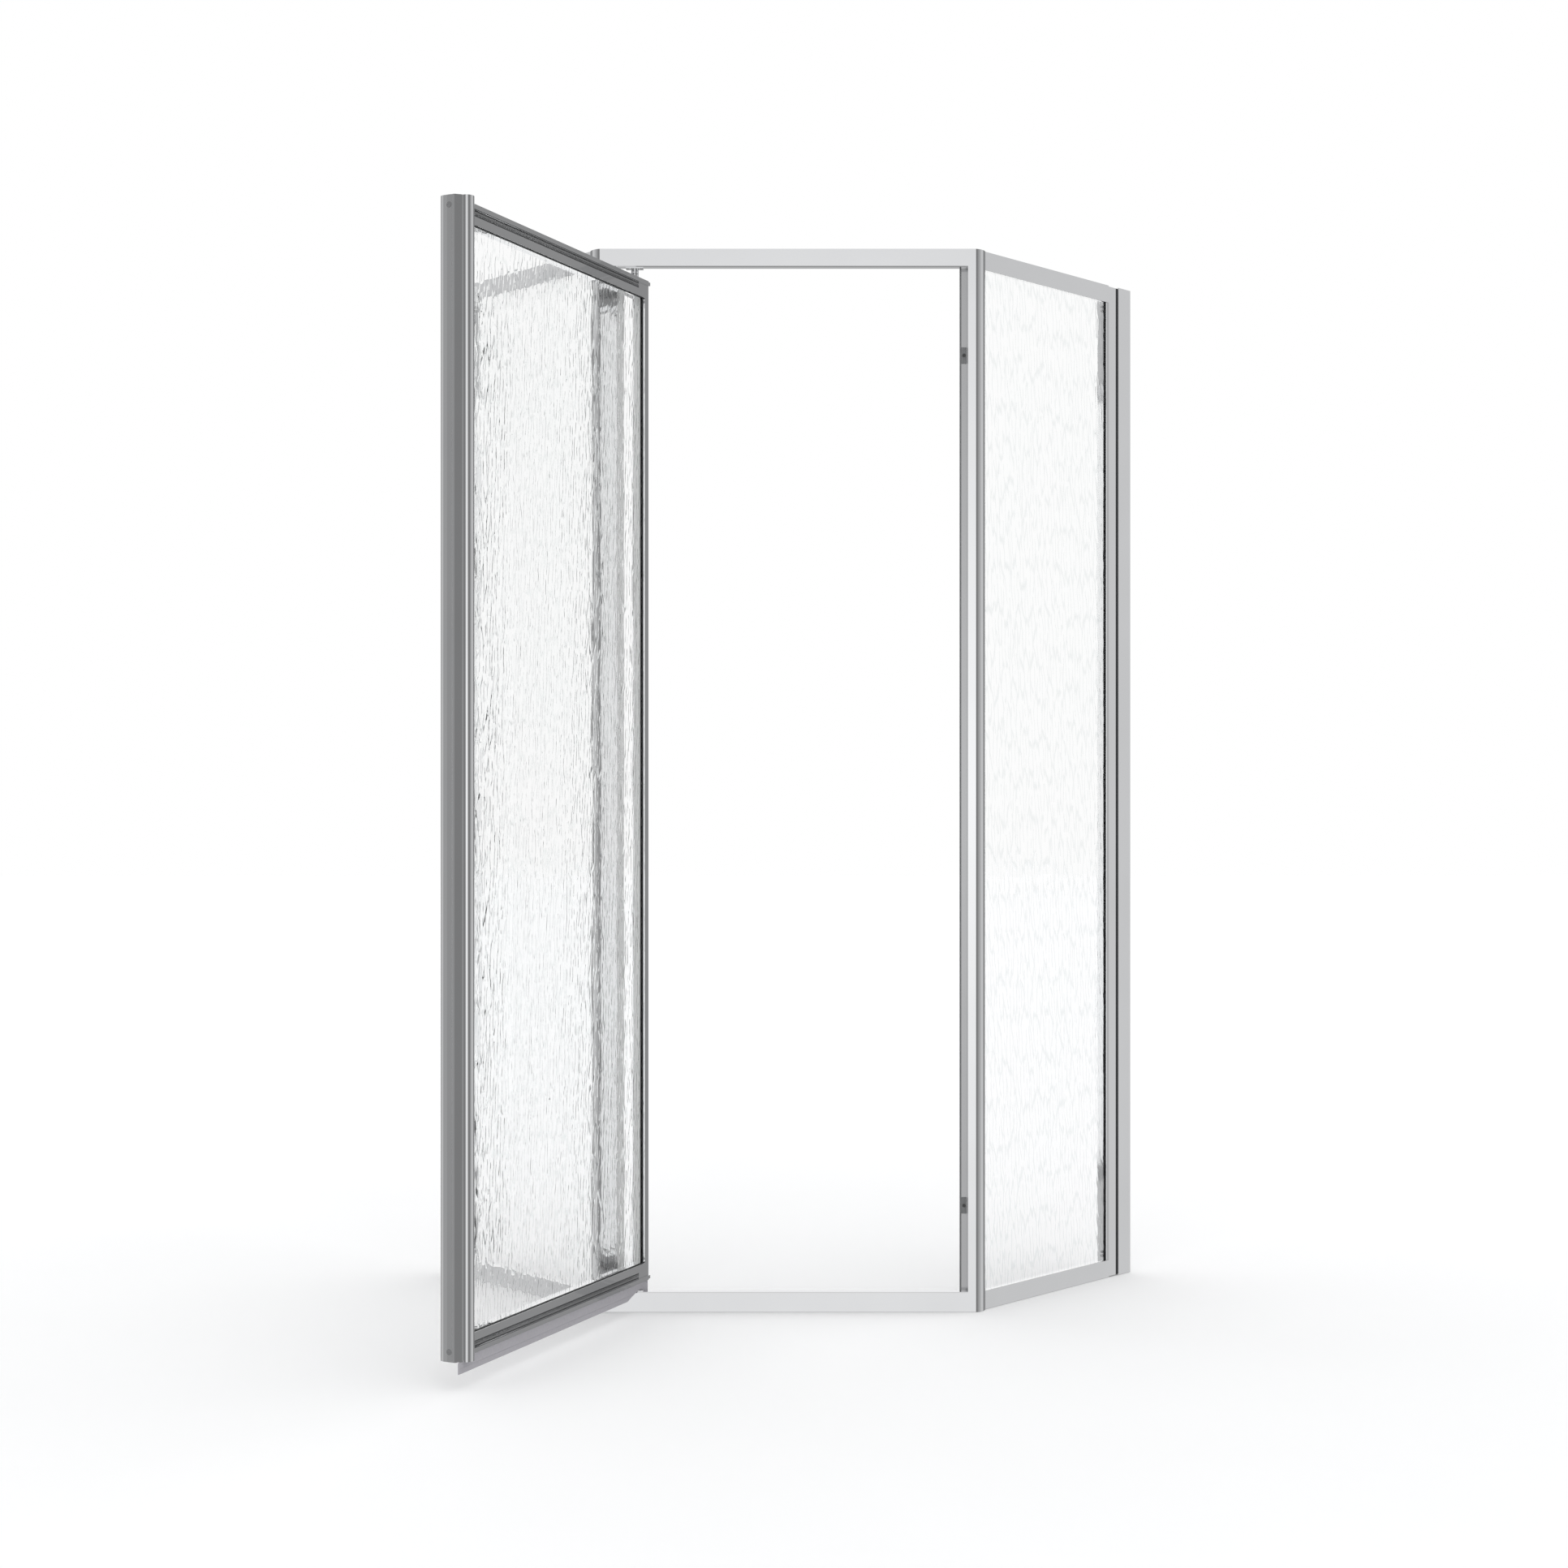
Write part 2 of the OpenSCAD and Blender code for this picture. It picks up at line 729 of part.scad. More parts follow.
module rail_groove() {
    for (side = [-1, 1]) scale([side, 1]) {
        difference() {
            translate([half_d, cove_d]) circle(r = cove_r);
            translate([0, 11.3]) square([half_d - 1, 1.9]);
            translate([0, 0]) square([half_d + 6, ledge_d + 0.4]);
        }
        translate([half_d - cove_r, ledge_d + 0.4]) square([cove_r + 1, 2.2]);
    }
}

// A rail in door coordinates, its outer edge up at z = 0 and its body below
module door_rail() {
    port_v = 3.2 - half_d + wall;
    difference() {
        union() {
            along_u(9.5, latch_in) difference() {
                rail_outline(ledge_out);
                rail_groove();
                rail_cavities();
            }
            along_u(hinge_in, 9.5) difference() {
                rail_outline(0);
                rail_cavities();
            }
        }
        translate([-heel - 1, -half_d - 5, -ledge_d]) cube([heel + 1 + block_len, door_d + 10, ledge_d + 1]);
        for (u = [24, 52]) translate([u, 0, 0]) cylinder(h = 45, r = screw_r + screw_fit, center = true);
        translate([latch_in - 20, -6.5, -8.5]) rotate([0, 90, 0]) cylinder(h = 30, r = screw_r + screw_fit);
        translate([hinge_in - 1, port_v, 7.5 - door_rail_h]) rotate([0, 90, 0])
            cylinder(h = 22, r = screw_r + screw_fit);
    }
}

module along_u(u0, u1) {
    translate([u0, 0, 0]) rotate([90, 0, 90]) linear_extrude(height = u1 - u0)
        mirror([0, 1]) children();
}

module rail_place_top() {
    door_frame() translate([0, 0, rail_top]) children();
}

module rail_place_bottom() {
    door_frame() translate([0, 0, rail_bottom]) mirror([0, 0, 1]) children();
}

module door_top_rail() {
    color("gray") rail_place_top() door_rail();
}

module door_bottom_rail() {
    color("gray") rail_place_bottom() door_rail();
}

module hinge_stile_section() {
    difference() {
        polygon([[-heel, 1 - half_d], [1 - heel, -half_d], [hinge_in, -half_d], [hinge_in, half_d],
                 [1 - heel, half_d], [-heel, half_d - 1]]);
        translate([door_gu0 - 1, door_pocket]) square([hinge_stile_w, pocket_t]);
        translate([wall - heel, wall - half_d])
            square([hinge_stile_w - 2 * wall, half_d + door_pocket - 2 * wall]);
    }
}

module door_hinge_stile() {
    z0 = rail_bottom + ledge_d;
    port_v = 3.2 - half_d + wall;
    color("gray") door_frame() difference() {
        translate([0, 0, z0]) linear_extrude(height = rail_top - ledge_d - z0) hinge_stile_section();
        hinge_screw_spots() rotate([0, -90, 0]) translate([0, 0, 1]) screw_hole(hinge_stile_w + 2);
    }
}

module hinge_screw_spots() {
    port_v = 3.2 - half_d + wall;
    for (z = [rail_bottom + door_rail_h - 7.5, rail_top - door_rail_h + 7.5])
        translate([-heel, port_v, z]) children();
}

// Latch stile with the full-height pull, drawn as u along x and v along y
module latch_body(h) {
    e = latch_end;
    bow_c = [e - 19.9, -5.5];
    linear_extrude(height = h) polygon([
        [e - 33.3, -13], [e - 33.3, 13], [e - 14, 13], [e - 14, 8.6], [e - 8.6, 8.6], [e - 7.4, 10.3],
        [e - 0.3, 3], [e, -10], [e - 0.1, -16.2], [e - 9.4, -25.6], [e - 17.2, -25.2], [e - 31.5, -15]
    ]);
    translate([e - 20.4, 12.5, 0]) cylinder(h = h, r = 10.7);
    translate([e - 9.5, -16.2, 0]) cylinder(h = h, r = 9.4);
    translate([e - 16.9, -9.3, 0]) cylinder(h = h, r = 16);
    intersection() {
        translate(bow_c) cylinder(h = h, r = 20);
        linear_extrude(height = h) polygon([
            bow_c, [e + 40, bow_c[1] + 11.2], [e + 40, bow_c[1] + 50], [e - 11, bow_c[1] + 50],
            bow_c + 30 * [cos(65.8), sin(65.8)]
        ]);
    }
}

module latch_cavities() {
    e = latch_end;
    translate([latch_in - 1, door_pocket]) square([door_gu1 - latch_in + 2.6, pocket_t]);
    polygon([
        [e - 8.3, -22], [e - 15, -22], [e - 29.8, -9], [e - 29.8, door_pocket - wall],
        [e - 21.2, door_pocket - wall], [e - 21.2, 11.6], [e - 12.8, 11.6], [e - 12.8, 6.8],
        [e - 6.5, 6.8], [e - 2.4, 2.4], [e - 2.6, -16]
    ]);
    polygon([
        [e - 28.6, 13.4], [e - 27.6, 17.2], [e - 24.2, 20.3], [e - 20.4, 21.2], [e - 16.6, 20.3],
        [e - 13.2, 17.2], [e - 12, 13.4]
    ]);
    translate([e - 0.9, -1.6]) square([2, 0.8]);
}

module latch_screw_spots() {
    for (z = [rail_bottom + 8.5, rail_top - 8.5])
        translate([latch_end - 1.3, -6.5, z]) children();
}

module door_latch_stile() {
    color("gray") door_frame() difference() {
        translate([0, 0, door_bottom]) latch_body(door_top - door_bottom);
        translate([0, 0, door_bottom - 1]) linear_extrude(height = door_top - door_bottom + 2)
            latch_cavities();
        latch_screw_spots() rotate([0, 90, 0]) {
            cylinder(h = 3, r = 4.4);
            screw_hole(latch_w + 3);
        }
    }
}

module door_magnet() {
    color("dimgray") door_frame() translate([0, 0, door_bottom + 30])
        linear_extrude(height = door_top - door_bottom - 60) translate([latch_end - 6.5, 6.8])
            rotate([0, 0, -47.02]) translate([0.2, -magnet_t - 0.05]) square([5.6, magnet_t]);
}

module door_glass() {
    color("lightblue", 0.4) door_frame() translate([door_gu0, door_glass_v, door_gz0])
        cube([door_gu1 - door_gu0, glass_t, door_gz1 - door_gz0]);
}

module door_glazing() {
    u0 = hinge_in + vinyl_show;
    u1 = latch_in - vinyl_show;
    z0 = rail_bottom + door_rail_h + vinyl_show;
    z1 = rail_top - door_rail_h - vinyl_show;
    color("dimgray") door_frame() difference() {
        union() {
            translate([door_gu0, door_pocket, door_gz0])
                cube([door_gu1 - door_gu0, pocket_t, door_gz1 - door_gz0]);
            translate([hinge_in, 4 - half_d, z0 - vinyl_show])
                cube([3.4, door_glass_v + half_d - 4, z1 - z0 + 2 * vinyl_show]);
        }
        translate([door_gu0 - 1, door_glass_v, door_gz0 - 1])
            cube([door_gu1 - door_gu0 + 2, glass_t, door_gz1 - door_gz0 + 2]);
        translate([hinge_in + 3.4, door_pocket - 1, z0]) cube([u1 - hinge_in - 3.4, pocket_t + 2, z1 - z0]);
        translate([u0, door_glass_v + glass_t, z0]) cube([10, vinyl_t + 1, z1 - z0]);
    }
}

module door_setting_blocks() {
    color("dimgray") door_frame() for (u = [0.2, 0.8])
        translate([hinge_in + u * (latch_in - hinge_in) - 25, door_pocket + 0.4, door_gz0 - block_h])
            cube([50, pocket_t - 0.8, block_h]);
}

module latch_stile_screws() {
    color("silver") door_frame() latch_screw_spots() rotate([0, 90, 0]) screw(latch_w + 14, 4.2, 1.3);
}

module hinge_stile_screws() {
    color("silver") door_frame() hinge_screw_spots() rotate([0, -90, 0]) screw(hinge_stile_w + 14, 3, 1.6);
}

// Pivot block in door coordinates, outer edge at z = 0 and body below
module pivot_block(boss_end) {
    difference() {
        union() {
            along_u(-heel, block_len) polygon([
                [-half_d, 0], [half_d, 0], [half_d, 2.6], [half_d + ledge_out, 3],
                [half_d + ledge_out, ledge_d], [-half_d - ledge_out, ledge_d], [-half_d - ledge_out, 3],
                [-half_d, 2.6]
            ]);
            translate([0, 0, -15.5]) cylinder(h = 15.5 + boss_end, r = core_r);
        }
        translate([0, 0, -16]) cylinder(h = 20 + boss_end, r = core_r - 1.1);
        for (u = [24, 52]) translate([u, 0, 0]) cylinder(h = 30, r = screw_r + screw_fit, center = true);
    }
}

module top_pivot_block() {
    color("gray") rail_place_top() pivot_block(top_boss_z - rail_top);
}

module bottom_pivot_block() {
    color("gray") rail_place_bottom() pivot_block(rail_bottom - bottom_boss_z);
}

module bushing(boss_end) {
    translate([0, 0, -15.5]) difference() {
        cylinder(h = 15.5 + boss_end, r = core_r - 1.1);
        translate([0, 0, -1]) cylinder(h = 18 + boss_end, r = pin_r + pin_fit);
    }
}

module top_bushing() {
    color("dimgray") rail_place_top() bushing(top_boss_z - rail_top);
}

module bottom_bushing() {
    color("dimgray") rail_place_bottom() bushing(rail_bottom - bottom_boss_z);
}

module pivot_block_screws() {
    color("silver") {
        rail_place_top() for (u = [24, 52]) translate([u, 0, 0]) screw(18, 3, 1.4);
        rail_place_bottom() for (u = [24, 52]) translate([u, 0, 0]) screw(18, 3, 1.4);
    }
}

module door_sweep() {
    arch_z = sill_h + 1.6;
    color("lightgray") door_frame() difference() {
        union() {
            translate([0, sweep_v + sweep_t, 0]) rotate([90, 0, 0]) linear_extrude(height = sweep_t)
                polygon([
                    [-heel, rail_bottom], [latch_in, rail_bottom], [latch_in, door_bottom],
                    [latch_end - 0.3, door_bottom], [latch_end - 0.3, sweep_z], [46, sweep_z],
                    [31, 30], [16, 34.5], [11, arch_z], [-12, arch_z], [-12, sweep_z + 1],
                    [-heel, sweep_z + 1]
                ]);
            translate([20, sweep_v - 3, rail_bottom - 1.5]) cube([latch_in - 20, sweep_t + 4, 1.5]);
        }
        translate([-heel - 1, sweep_v + sweep_t - 0.3, sweep_z + 8]) cube([latch_end + heel, 1, 0.5]);
    }
}

front_header();
front_sill();
hinge_post();
strike_post();
hinge_jamb();
strike_jamb();
hinge_seal();
strike_magnet();
strike_clips();
strike_clip_screws();
left_header();
right_header();
left_sill();
right_sill();
left_wall_stile();
right_wall_stile();
left_jamb_gasket();
right_jamb_gasket();
left_wall_jamb();
right_wall_jamb();
left_glass();
right_glass();
left_glazing();
right_glazing();
left_setting_blocks();
right_setting_blocks();
top_pivot_bracket();
bottom_pivot_bracket();
top_pivot_pin();
bottom_pivot_pin();
bottom_thrust_washer();
pivot_bracket_screws();
frame_screws();
stile_corner_screws();
stile_fixing_screws();
door_top_rail();
door_bottom_rail();
door_hinge_stile();
door_latch_stile();
door_glass();
door_glazing();
door_setting_blocks();
latch_stile_screws();
hinge_stile_screws();
top_pivot_block();
bottom_pivot_block();
top_bushing();
bottom_bushing();
pivot_block_screws();
door_sweep();
door_magnet();
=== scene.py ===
import math

import bpy
from mathutils import Matrix, Vector, noise


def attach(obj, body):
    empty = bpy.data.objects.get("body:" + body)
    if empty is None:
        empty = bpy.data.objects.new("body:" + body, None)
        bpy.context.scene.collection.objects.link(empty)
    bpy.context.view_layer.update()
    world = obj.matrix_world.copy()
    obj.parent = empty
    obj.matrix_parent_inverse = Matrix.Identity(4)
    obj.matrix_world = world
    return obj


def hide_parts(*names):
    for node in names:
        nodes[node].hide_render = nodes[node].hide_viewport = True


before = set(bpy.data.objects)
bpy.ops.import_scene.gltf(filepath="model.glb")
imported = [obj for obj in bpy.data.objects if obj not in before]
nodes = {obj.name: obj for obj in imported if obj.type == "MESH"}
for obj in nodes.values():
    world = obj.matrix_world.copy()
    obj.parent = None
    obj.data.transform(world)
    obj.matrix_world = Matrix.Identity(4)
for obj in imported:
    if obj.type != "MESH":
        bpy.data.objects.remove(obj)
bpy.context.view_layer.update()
scene = bpy.context.scene

# Sizes of the object, in metres, as in the part's source
CORNER_X = 0.3215
FRONT_Y = -0.014
PIVOT_X = -0.264
OPEN_ANGLE = math.radians(115)
RETURN_TURN = math.radians(45)
GLASS_T = 0.0048
RAIL_TOP = 1.7804
RAIL_BOTTOM = 0.0485

# Limits of the faces with a look of their own: rail coves and return rail lips with painted shade, outer
# glazing bead
COVE_ACROSS = (0.007, 0.0127)
COVE_DOWN = (0.0088, 0.0192)
LIP_DEPTH = 0.0024
LIP_HEIGHTS = (0.005, 1.82)
BEAD_DEPTH = 0.0034
FACING = 0.9

# Rain pattern in the mesh: its steps, its mean depth below the CAD face, and waves and ripples about it
STEP_X = 0.004
STEP_Z = 0.016
RELIEF = 0.0004
WAVE_RELIEF = 0.0002
WAVES = (70.0, 14.0)
RIPPLE_RELIEF = 0.00007
RIPPLES = (150.0, 24.0)
RIPPLE_SEED = 7.3

# Strokes of the rain pattern: how many per metre across and up, and how far they lean and sway
STROKES_ACROSS = 118.0
STROKES_UP = 14.0
STROKE_LEAN = 7.0
STROKE_SWAY = 1.2

# Index of refraction of each pane, lower where the pane stays pale at a grazing view
RIGHT_INDEX = 1.45
LEFT_INDEX = 1.35
DOOR_INDEX = 1.3

# Stretch of the noise in a material
EVEN = (1, 1, 1)
FINE = (600, 600, 600)
LONG_Z = (900, 900, 6)
LONG_XY = (8, 8, 900)

# Plain colours
WHITE = (1.0, 1.0, 1.0)
BLACK = (0.0, 0.0, 0.0)
GLASS_TINT = (0.99, 1.0, 0.998)

# Camera at the photograph's place, level, with a small upward shift
CAMERA_AT = (-0.0066, -3.7595, 0.8907)
CAMERA_SHIFT = 0.0065

# Floor: half its width, its drop below the object, and its own faint light
FLOOR_HALF = 20.0
FLOOR_DROP = 0.0006
FLOOR_GLOW = 0.17


def right_panel():
    return Matrix.Translation((CORNER_X, FRONT_Y, 0)) @ Matrix.Rotation(RETURN_TURN, 4, "Z")


def left_panel():
    return Matrix.Translation((-CORNER_X, FRONT_Y, 0)) @ Matrix.Rotation(math.pi - RETURN_TURN, 4, "Z")


def door_panel():
    return Matrix.Translation((PIVOT_X, 0, 0)) @ Matrix.Rotation(-OPEN_ANGLE, 4, "Z")


# Material helpers

def grey(value):
    return (value, value * 1.004, value * 1.012)


def new_material(name):
    mat = bpy.data.materials.new(name)
    mat.use_nodes = True
    tree = mat.node_tree
    tree.nodes.clear()
    out = tree.nodes.new("ShaderNodeOutputMaterial")
    bsdf = tree.nodes.new("ShaderNodeBsdfPrincipled")
    tree.links.new(bsdf.outputs["BSDF"], out.inputs["Surface"])
    return mat, tree, bsdf


def stretched_noise(tree, scale, size, detail=2.0, rough=0.5):
    coord = tree.nodes.new("ShaderNodeTexCoord")
    mapping = tree.nodes.new("ShaderNodeMapping")
    mapping.inputs["Scale"].default_value = scale
    tex = tree.nodes.new("ShaderNodeTexNoise")
    tex.inputs["Scale"].default_value = size
    tex.inputs["Detail"].default_value = detail
    tex.inputs["Roughness"].default_value = rough
    tree.links.new(coord.outputs["Object"], mapping.inputs["Vector"])
    tree.links.new(mapping.outputs["Vector"], tex.inputs["Vector"])
    return tex.outputs["Fac"]


def ramp(tree, fac, stops):
    node = tree.nodes.new("ShaderNodeValToRGB")
    ends = node.color_ramp.elements
    while len(ends) < len(stops):
        ends.new(0.5)
    for end, (pos, colour) in zip(ends, stops):
        end.position = pos
        end.color = (*colour, 1.0)
    tree.links.new(fac, node.inputs["Fac"])
    return node.outputs["Color"]


def level(tree, fac, low, high):
    node = tree.nodes.new("ShaderNodeMapRange")
    node.inputs["To Min"].default_value = low
    node.inputs["To Max"].default_value = high
    tree.links.new(fac, node.inputs["Value"])
    return node.outputs["Result"]


def bump(tree, bsdf, height, distance, strength=1.0):
    node = tree.nodes.new("ShaderNodeBump")
    node.inputs["Distance"].default_value = distance
    node.inputs["Strength"].default_value = strength
    tree.links.new(height, node.inputs["Height"])
    tree.links.new(node.outputs["Normal"], bsdf.inputs["Normal"])


def feed(tree, socket, value):
    if hasattr(value, "is_output"):
        tree.links.new(value, socket)
    else:
        socket.default_value = value


def math_node(tree, kind, *values):
    node = tree.nodes.new("ShaderNodeMath")
    node.operation = kind
    for socket, value in zip(node.inputs, values):
        feed(tree, socket, value)
    return node.outputs["Value"]


def mix_colour(tree, fac, first, second, kind="MIX"):
    node = tree.nodes.new("ShaderNodeMix")
    node.data_type = "RGBA"
    node.blend_type = kind
    for name, value in (("Factor", fac), ("A", first), ("B", second)):
        socket = [s for s in node.inputs if s.name == name and s.enabled][0]
        feed(tree, socket, value)
    return [s for s in node.outputs if s.name == "Result" and s.enabled][0]


# Materials

def polished_metal(name, value, rough, along, crevice_shade=0.0):
    mat, tree, bsdf = new_material(name)
    bsdf.inputs["Metallic"].default_value = 1.0
    drawn = stretched_noise(tree, along, 1.0, 3.0, 0.6)
    cloud = stretched_noise(tree, EVEN, 9.0, 2.0)
    colour = ramp(tree, cloud, [(0.3, grey(value * 0.975)), (0.7, grey(value))])
    # Painted shade: the base colour darkens in crevices, corners and between parts, by ambient occlusion
    if crevice_shade:
        crevice_occlusion = tree.nodes.new("ShaderNodeAmbientOcclusion")
        crevice_occlusion.samples = 8
        crevice_occlusion.inputs["Distance"].default_value = 0.009
        shade = ramp(tree, crevice_occlusion.outputs["AO"], [(0.12, grey(1.0 - crevice_shade)), (0.42, WHITE)])
        colour = mix_colour(tree, 1.0, colour, shade, "MULTIPLY")
    tree.links.new(colour, bsdf.inputs["Base Color"])
    tree.links.new(level(tree, drawn, rough * 0.8, rough * 1.25), bsdf.inputs["Roughness"])
    bump(tree, bsdf, drawn, 0.000006, 0.12)
    return mat


def soft_material(name, dark, light, rough, scale=900.0):
    mat, tree, bsdf = new_material(name)
    grain = stretched_noise(tree, (1, 1, 0.2), scale, 3.0)
    tree.links.new(ramp(tree, grain, [(0.3, dark), (0.7, light)]), bsdf.inputs["Base Color"])
    tree.links.new(level(tree, grain, rough - 0.06, rough + 0.06), bsdf.inputs["Roughness"])
    bump(tree, bsdf, grain, 0.00008, 0.3)
    return mat


def clear_body(name, index):
    mat, tree, bsdf = new_material(name)
    bsdf.inputs["Roughness"].default_value = 0.0
    bsdf.inputs["Transmission Weight"].default_value = 1.0
    bsdf.inputs["IOR"].default_value = index
    return mat, tree, bsdf


def stroke_edges(tree):
    coord = tree.nodes.new("ShaderNodeTexCoord")
    split = tree.nodes.new("ShaderNodeSeparateXYZ")
    tree.links.new(coord.outputs["Object"], split.inputs["Vector"])
    sway = stretched_noise(tree, (45, 45, 30), 1.0, 2.0)
    along = math_node(tree, "MULTIPLY", split.outputs["X"], STROKES_ACROSS)
    lean = math_node(tree, "MULTIPLY", split.outputs["Z"], STROKE_LEAN)
    swing = math_node(tree, "MULTIPLY", sway, STROKE_SWAY)
    across = math_node(tree, "ADD", math_node(tree, "ADD", along, lean), swing)
    cell = tree.nodes.new("ShaderNodeCombineXYZ")
    tree.links.new(across, cell.inputs["X"])
    tree.links.new(math_node(tree, "MULTIPLY", split.outputs["Z"], STROKES_UP), cell.inputs["Y"])
    drops = tree.nodes.new("ShaderNodeTexVoronoi")
    drops.voronoi_dimensions = "2D"
    drops.feature = "DISTANCE_TO_EDGE"
    drops.inputs["Scale"].default_value = 1.0
    drops.inputs["Randomness"].default_value = 0.9
    tree.links.new(cell.outputs["Vector"], drops.inputs["Vector"])
    return drops.outputs["Distance"]


def rain_glass(name, stroke_shade_colour, depth, index, width, start):
    mat, tree, bsdf = clear_body(name, index)
    edge = stroke_edges(tree)
    # Painted shade: the strokes are greyed in the base colour, standing in for the light bent and
    # reflected by the rain relief; the bump gives the relief itself
    breaks = stretched_noise(tree, (210, 210, 52), 1.0, 0.0)
    gap = ramp(tree, breaks, [(start, BLACK), (start + 0.08, WHITE)])
    fold = ramp(tree, edge, [(0.2 * width, WHITE), (width, BLACK)])
    painted_stroke = math_node(tree, "MULTIPLY", gap, fold)
    tree.links.new(mix_colour(tree, painted_stroke, (*WHITE, 1.0), (*stroke_shade_colour, 1.0)), bsdf.inputs["Base Color"])
    swell = ramp(tree, edge, [(0.0, BLACK), (0.15, WHITE)])
    bump(tree, bsdf, mix_colour(tree, gap, (*WHITE, 1.0), swell), depth)
    return mat


def plain_glass(name, index):
    mat, tree, bsdf = clear_body(name, index)
    cloud = stretched_noise(tree, (6, 6, 3), 1.0, 1.0)
    tree.links.new(ramp(tree, cloud, [(0.3, GLASS_TINT), (0.7, WHITE)]), bsdf.inputs["Base Color"])
    return mat


# A last number sets how strongly painted shade darkens the metal in its crevices
METAL_UP = polished_metal("polished_aluminium_upright", 0.87, 0.05, LONG_Z, 0.8)
METAL_FLAT = polished_metal("polished_aluminium_level", 0.87, 0.05, LONG_XY, 0.8)
METAL_RAIL = polished_metal("polished_aluminium_rail", 0.87, 0.05, LONG_XY)
METAL_HINGE = polished_metal("polished_aluminium_hinge_jamb", 0.87, 0.06, LONG_Z)
# Painted shade: the strike jamb's aluminium is about half as bright as the other metal, standing in for
# the shade on its face; it is also rougher
METAL_JAMB = polished_metal("satin_aluminium_jamb_painted_shade", 0.47, 0.12, LONG_Z, 0.75)
# Painted shade: darker, rougher metal on the rail coves and the return rail lips, standing in for the
# shade in them
COVE_SHADE = polished_metal("dull_groove_painted_shade", 0.54, 0.22, LONG_XY)
LIP_SHADE = polished_metal("dull_lip_painted_shade", 0.30, 0.22, LONG_XY)
STEEL = polished_metal("stainless_steel", 0.62, 0.16, FINE, 0.6)
BLACK_STEEL = polished_metal("black_steel", 0.10, 0.3, FINE)
VINYL = soft_material("dark_vinyl", (0.018, 0.020, 0.022), (0.034, 0.036, 0.038), 0.45)
PALE = soft_material("pale_vinyl", (0.86, 0.865, 0.86), (0.92, 0.925, 0.92), 0.45)
CLEAR = soft_material("clear_vinyl", (0.41, 0.40, 0.43), (0.47, 0.46, 0.49), 0.35)
MAGNET = soft_material("magnet_strip", (0.20, 0.205, 0.21), (0.25, 0.255, 0.26), 0.45)
CLIP = soft_material("grey_plastic", (0.20, 0.205, 0.21), (0.25, 0.255, 0.26), 0.4, 500.0)
PLASTIC = soft_material("dark_plastic", (0.030, 0.032, 0.034), (0.05, 0.052, 0.055), 0.5, 500.0)
RAIN = rain_glass("rain_glass", (0.80, 0.825, 0.825), 0.00012, RIGHT_INDEX, 0.15, 0.34)
BACK = plain_glass("glass_back", RIGHT_INDEX)
LEFT_RAIN = rain_glass("left_rain_glass", (0.86, 0.88, 0.878), 0.00012, LEFT_INDEX, 0.12, 0.36)
LEFT_BACK = plain_glass("left_glass_back", LEFT_INDEX)
DOOR_RAIN = rain_glass("door_rain_glass", (0.84, 0.87, 0.865), 0.00016, DOOR_INDEX, 0.1, 0.38)
DOOR_BACK = plain_glass("door_glass_back", DOOR_INDEX)

LOOKS = {
    METAL_FLAT: """front_header front_sill left_header right_header left_sill right_sill
        top_pivot_bracket bottom_pivot_bracket""",
    METAL_RAIL: "door_top_rail door_bottom_rail top_pivot_block bottom_pivot_block",
    METAL_UP: """hinge_post strike_post left_wall_stile right_wall_stile left_wall_jamb right_wall_jamb
        door_hinge_stile door_latch_stile""",
    METAL_HINGE: "hinge_jamb",
    METAL_JAMB: "strike_jamb",
    CLIP: "strike_clips",
    BLACK_STEEL: "strike_clip_screws",
    STEEL: """top_pivot_pin bottom_pivot_pin pivot_bracket_screws frame_screws
        stile_corner_screws stile_fixing_screws latch_stile_screws hinge_stile_screws
        pivot_block_screws""",
    VINYL: """left_glazing right_glazing door_glazing left_jamb_gasket right_jamb_gasket
        left_setting_blocks right_setting_blocks door_setting_blocks""",
    CLEAR: "door_sweep",
    PALE: "hinge_seal",
    MAGNET: "strike_magnet door_magnet",
    PLASTIC: "bottom_thrust_washer top_bushing bottom_bushing",
}
for material, names in LOOKS.items():
    for name in names.split():
        nodes[name].data.materials.clear()
        nodes[name].data.materials.append(material)


# Faces that look different from the rest of their piece: painted shade in the coves of the door rails
# and on the lips of the return rails beside the glass, and the pale outer bead of the door glazing

def paint(name, material, place, chosen):
    inverse = place.inverted()
    mesh = nodes[name].data
    mesh.materials.append(material)
    for face in mesh.polygons:
        if chosen(inverse @ face.center, inverse.to_3x3() @ face.normal):
            face.material_index = 1


def in_cove(across, down):
    return COVE_ACROSS[0] < abs(across) < COVE_ACROSS[1] and COVE_DOWN[0] < down < COVE_DOWN[1]


def in_top_cove(centre, way):
    return in_cove(centre.y, RAIL_TOP - centre.z)


def in_bottom_cove(centre, way):
    return in_cove(centre.y, centre.z - RAIL_BOTTOM)


def on_lip(centre, way):
    level_face = abs(way.z) > FACING
    return centre.y < LIP_DEPTH and level_face and LIP_HEIGHTS[0] < centre.z < LIP_HEIGHTS[1]


def on_outer_bead(centre, way):
    return centre.y < BEAD_DEPTH and (abs(way.x) > FACING or way.y < -FACING)


paint("door_top_rail", COVE_SHADE, door_panel(), in_top_cove)
paint("door_bottom_rail", COVE_SHADE, door_panel(), in_bottom_cove)
for rail in ("header", "sill"):
    paint("left_" + rail, LIP_SHADE, left_panel(), on_lip)
    paint("right_" + rail, LIP_SHADE, right_panel(), on_lip)
paint("door_glazing", PALE, door_panel(), on_outer_bead)


# Glass panes with the relief of the rain pattern on their outer face

